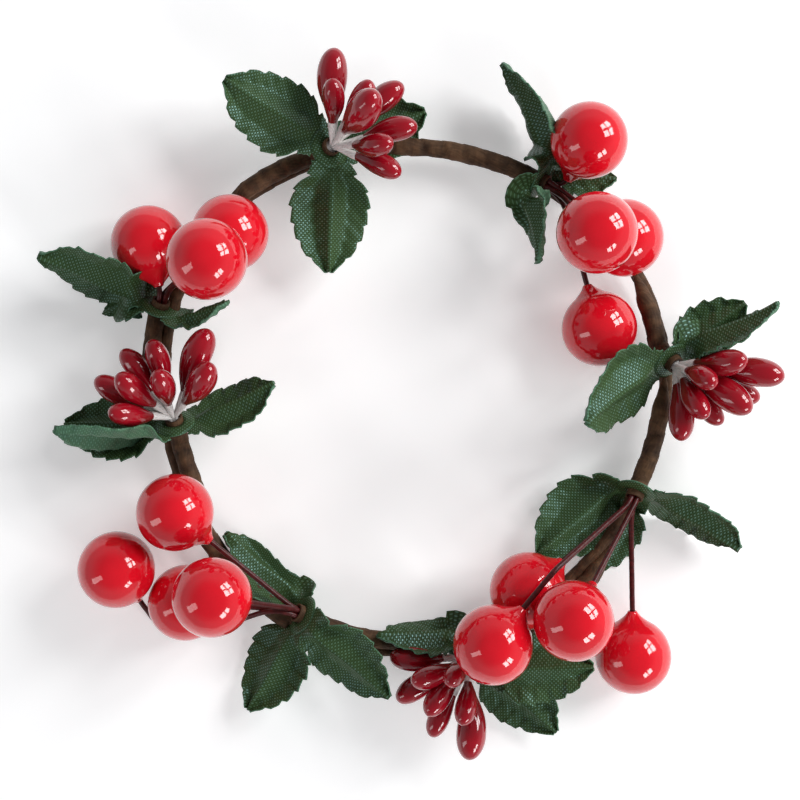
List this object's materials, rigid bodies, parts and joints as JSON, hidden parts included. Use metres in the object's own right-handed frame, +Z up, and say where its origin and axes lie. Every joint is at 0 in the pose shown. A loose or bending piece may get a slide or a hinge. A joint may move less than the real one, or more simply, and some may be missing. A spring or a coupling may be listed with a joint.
{
  "type": "candle ring",
  "caption": "Small wreath of taped wire that lies round the foot of a candle, with sprays of lacquered berries, dipped pips and serrated cloth leaves.",
  "frame": {"origin": "on the table, at the middle of the opening for the candle", "axes": "+Z up, out of the table; +Y towards the far side of the picture; +X to its right"},
  "size_m": [0.1164, 0.1095, 0.0286],
  "materials": {
    "steel_wire": "thin annealed florist's wire, hidden in the tape",
    "paper_tape": "brown crepe paper tape, stretched and wound in a spiral, waxy and matt",
    "berry_wire": "thin wire in a dark red-brown paper skin",
    "berry_lacquer": "bright red high-gloss lacquer",
    "pip_lacquer": "dark crimson glossy dip",
    "paper_stem": "off-white twisted paper",
    "leaf_cloth": "plain-weave polyester with pressed pleats, dark green with a cool sheen"
  },
  "bodies": {
    "root": {"ring_core_wire": "steel_wire", "ring_tape_splice": "paper_tape", "ring_tape_upper": "paper_tape", "ring_tape_right": "paper_tape", "ring_tape_lower": "paper_tape", "stem_tape_upper_left": "paper_tape", "leaf_whorl_upper_left": "leaf_cloth", "berry_wire_upper_left_1": "berry_wire", "berry_upper_left_1": "berry_lacquer", "berry_wire_upper_left_2": "berry_wire", "berry_upper_left_2": "berry_lacquer", "berry_wire_upper_left_3": "berry_wire", "berry_upper_left_3": "berry_lacquer", "stem_tape_top": "paper_tape", "leaf_whorl_top": "leaf_cloth", "pip_stems_top": "paper_stem", "pips_top": "pip_lacquer", "stem_tape_upper_right": "paper_tape", "leaf_whorl_upper_right": "leaf_cloth", "berry_wire_upper_right_1": "berry_wire", "berry_upper_right_1": "berry_lacquer", "berry_wire_upper_right_2": "berry_wire", "berry_upper_right_2": "berry_lacquer", "berry_wire_upper_right_3": "berry_wire", "berry_upper_right_3": "berry_lacquer", "berry_wire_upper_right_4": "berry_wire", "berry_upper_right_4": "berry_lacquer", "stem_tape_right": "paper_tape", "leaf_whorl_right": "leaf_cloth", "pip_stems_right": "paper_stem", "pips_right": "pip_lacquer", "stem_tape_lower_right": "paper_tape", "leaf_whorl_lower_right": "leaf_cloth", "berry_wire_lower_right_1": "berry_wire", "berry_lower_right_1": "berry_lacquer", "berry_wire_lower_right_2": "berry_wire", "berry_lower_right_2": "berry_lacquer", "berry_wire_lower_right_3": "berry_wire", "berry_lower_right_3": "berry_lacquer", "berry_wire_lower_right_4": "berry_wire", "berry_lower_right_4": "berry_lacquer", "stem_tape_bottom": "paper_tape", "leaf_whorl_bottom": "leaf_cloth", "pip_stems_bottom": "paper_stem", "pips_bottom": "pip_lacquer", "stem_tape_lower_left": "paper_tape", "leaf_whorl_lower_left": "leaf_cloth", "berry_wire_lower_left_1": "berry_wire", "berry_lower_left_1": "berry_lacquer", "berry_wire_lower_left_2": "berry_wire", "berry_lower_left_2": "berry_lacquer", "berry_wire_lower_left_3": "berry_wire", "berry_lower_left_3": "berry_lacquer", "berry_wire_lower_left_4": "berry_wire", "berry_lower_left_4": "berry_lacquer", "stem_tape_left": "paper_tape", "leaf_whorl_left": "leaf_cloth", "pip_stems_left": "paper_stem", "pips_left": "pip_lacquer"}
  },
  "joints": []
}
